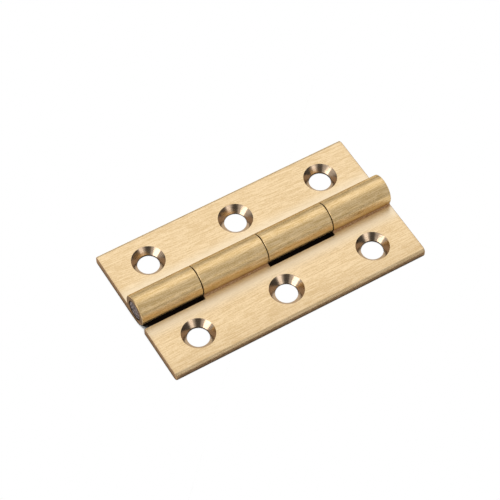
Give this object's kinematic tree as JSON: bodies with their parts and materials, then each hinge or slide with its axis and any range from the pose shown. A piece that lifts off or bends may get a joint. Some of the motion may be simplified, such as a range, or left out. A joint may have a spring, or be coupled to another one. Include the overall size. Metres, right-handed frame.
{
  "type": "butt hinge",
  "caption": "Butt hinge with two countersunk brass leaves, interlocking knuckles and a fixed steel pin, opened flat.",
  "frame": {"origin": "on the plane of the leaves' back faces, under the middle of the pin", "axes": "+X along the pin, +Y towards the rear leaf, +Z from the back faces towards the countersunk faces"},
  "size_m": [0.05, 0.028, 0.0057],
  "materials": {
    "brass": "satin, brushed along the length",
    "pin_steel": "dull, cropped end"
  },
  "bodies": {
    "rear": {"rear_leaf": "brass", "hinge_pin": "pin_steel"},
    "front": {"front_leaf": "brass"}
  },
  "joints": [
    {"name": "leaf_swing", "type": "hinge", "parent": "rear", "child": "front", "pos_m": [0, 0, 0.00295], "axis": [-1, 0, 0], "range_deg": [-90, 180]}
  ]
}
